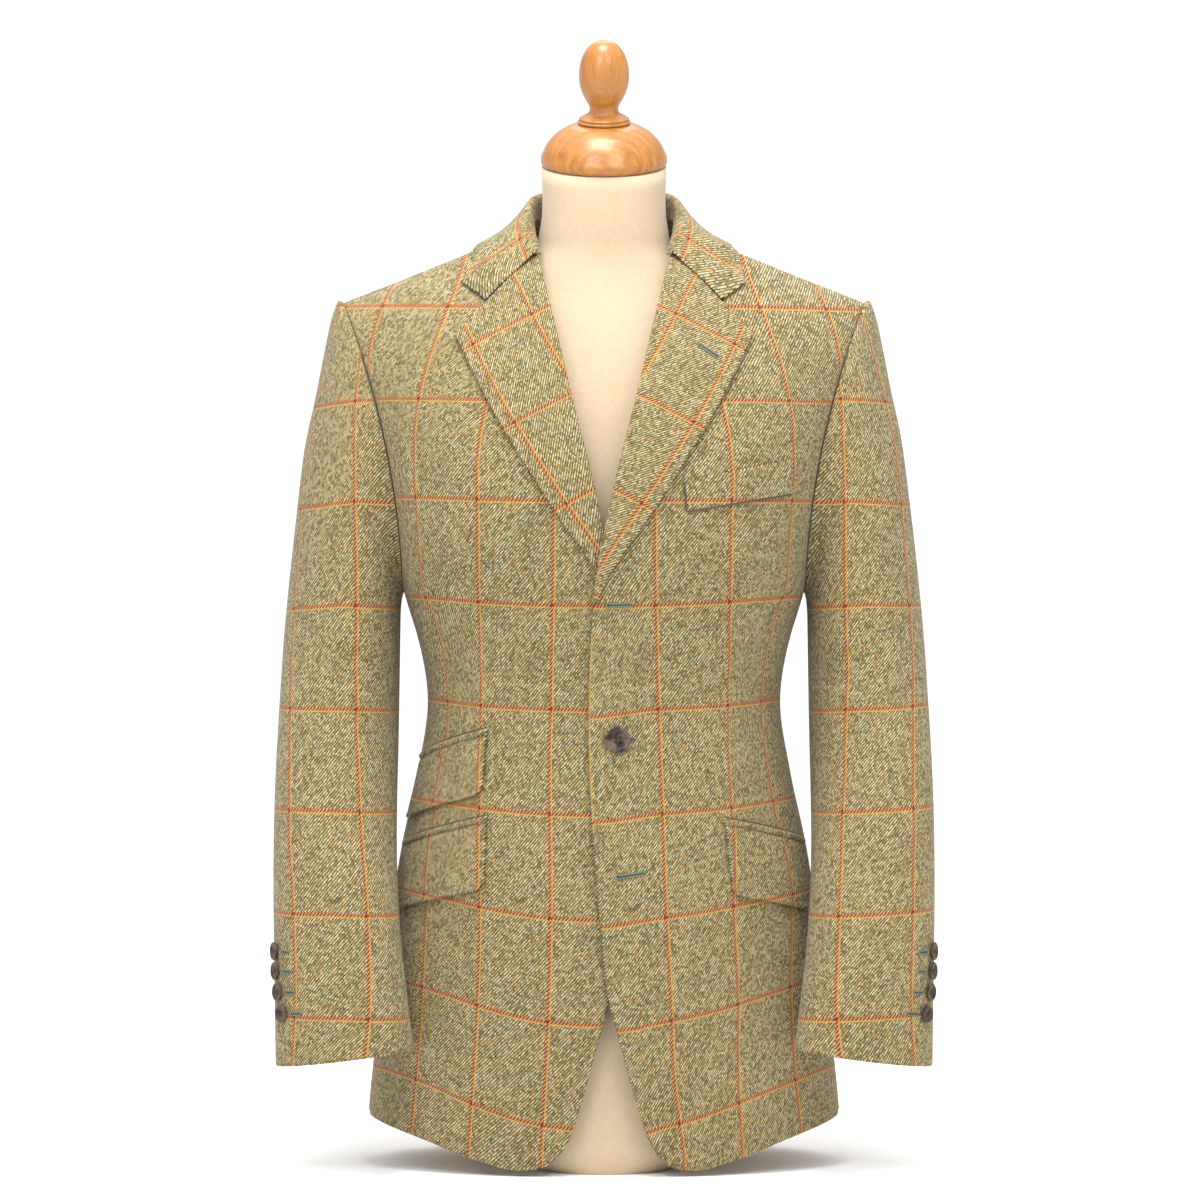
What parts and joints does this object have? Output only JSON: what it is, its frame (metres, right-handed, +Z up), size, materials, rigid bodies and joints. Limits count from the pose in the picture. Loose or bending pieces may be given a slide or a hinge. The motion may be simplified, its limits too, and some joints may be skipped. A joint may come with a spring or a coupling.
{
  "type": "tweed jacket on a limbless dress form",
  "caption": "Single-breasted windowpane tweed jacket with notch lapels, flap pockets and cuff buttons, standing on a limbless cream dress form with a wooden neck cap and finial.",
  "frame": {"origin": "floor level, midway between the side seams, on the centre line of the form's flat foot", "axes": "+Z up, -Y towards the front of the jacket, +X towards the wearer's left"},
  "size_m": [0.5608, 0.2767, 0.9592],
  "materials": {
    "tweed": "woven wool tweed",
    "button": "dark horn",
    "form_cover": "cream jersey",
    "form_wood": "satin varnish"
  },
  "bodies": {
    "root": {"back_left": "tweed", "back_right": "tweed", "collar": "tweed", "flap_left": "tweed", "flap_right": "tweed", "flap_ticket": "tweed", "front_left": "tweed", "front_right": "tweed", "lapel_left": "tweed", "lapel_right": "tweed", "sleeve_left": "tweed", "sleeve_right": "tweed", "welt_breast": "tweed", "welt_left": "tweed", "welt_right": "tweed", "welt_ticket": "tweed", "button_front": "button", "button_cuff_left_1": "button", "button_cuff_left_2": "button", "button_cuff_left_3": "button", "button_cuff_left_4": "button", "button_cuff_right_1": "button", "button_cuff_right_2": "button", "button_cuff_right_3": "button", "button_cuff_right_4": "button", "form_body": "form_cover", "form_cap": "form_wood", "form_finial": "form_wood"}
  },
  "joints": []
}
